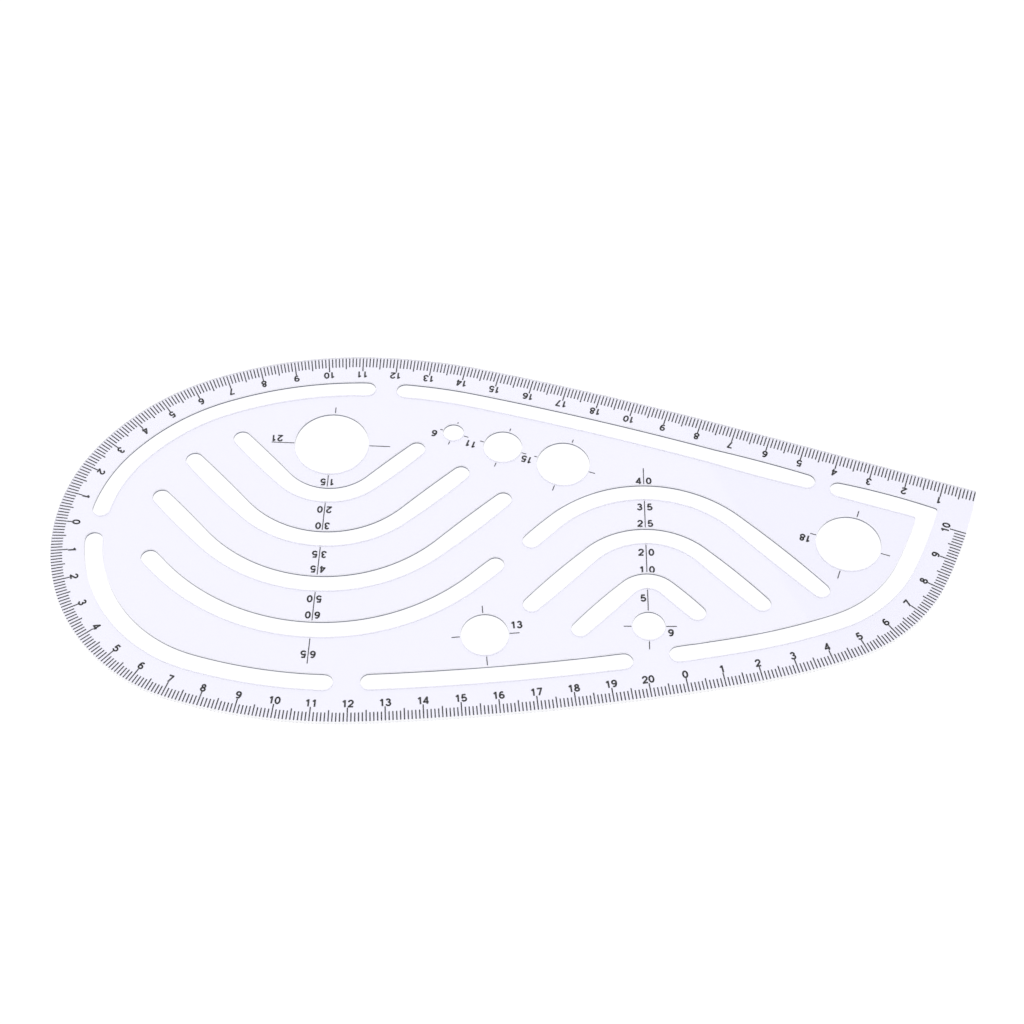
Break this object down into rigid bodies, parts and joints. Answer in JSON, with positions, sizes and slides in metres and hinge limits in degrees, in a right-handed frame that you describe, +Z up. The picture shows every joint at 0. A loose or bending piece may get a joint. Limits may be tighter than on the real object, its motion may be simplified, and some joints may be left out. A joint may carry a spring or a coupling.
{
  "type": "french curve",
  "caption": "Clear flat drawing template with a curved edge scaled in centimetres and millimetres, slots that follow the edge, nested curve slots and circle holes",
  "frame": {"origin": "under the middle of the bounding box, on the plane that the sheet rests on", "axes": "+X runs along the sheet from its round end to the sharp tip, +Y across it to the long straight edge's side, +Z up through the sheet"},
  "size_m": [0.2554, 0.12, 0.0012],
  "materials": {
    "clear_sheet": "clear polished acrylic sheet, very slightly violet",
    "black_ink": "black stamped ink"
  },
  "bodies": {
    "root": {"hole_11_cross_bottom": "black_ink", "hole_11_cross_left": "black_ink", "hole_11_cross_right": "black_ink", "hole_11_cross_top": "black_ink", "hole_13_cross_bottom": "black_ink", "hole_13_cross_left": "black_ink", "hole_13_cross_right": "black_ink", "hole_13_cross_top": "black_ink", "hole_15_cross_bottom": "black_ink", "hole_15_cross_left": "black_ink", "hole_15_cross_right": "black_ink", "hole_15_cross_top": "black_ink", "hole_18_cross_bottom": "black_ink", "hole_18_cross_left": "black_ink", "hole_18_cross_right": "black_ink", "hole_18_cross_top": "black_ink", "hole_21_cross_left": "black_ink", "hole_21_cross_right": "black_ink", "hole_21_cross_top": "black_ink", "hole_6_cross_bottom": "black_ink", "hole_6_cross_left": "black_ink", "hole_6_cross_right": "black_ink", "hole_6_cross_top": "black_ink", "hole_9_cross_bottom": "black_ink", "hole_9_cross_left": "black_ink", "hole_9_cross_right": "black_ink", "left_axis_1": "black_ink", "left_axis_2": "black_ink", "left_axis_3": "black_ink", "left_axis_4": "black_ink", "left_axis_5": "black_ink", "right_axis_1": "black_ink", "right_axis_2": "black_ink", "right_axis_3": "black_ink", "right_axis_4": "black_ink", "sheet": "clear_sheet"}
  },
  "joints": []
}
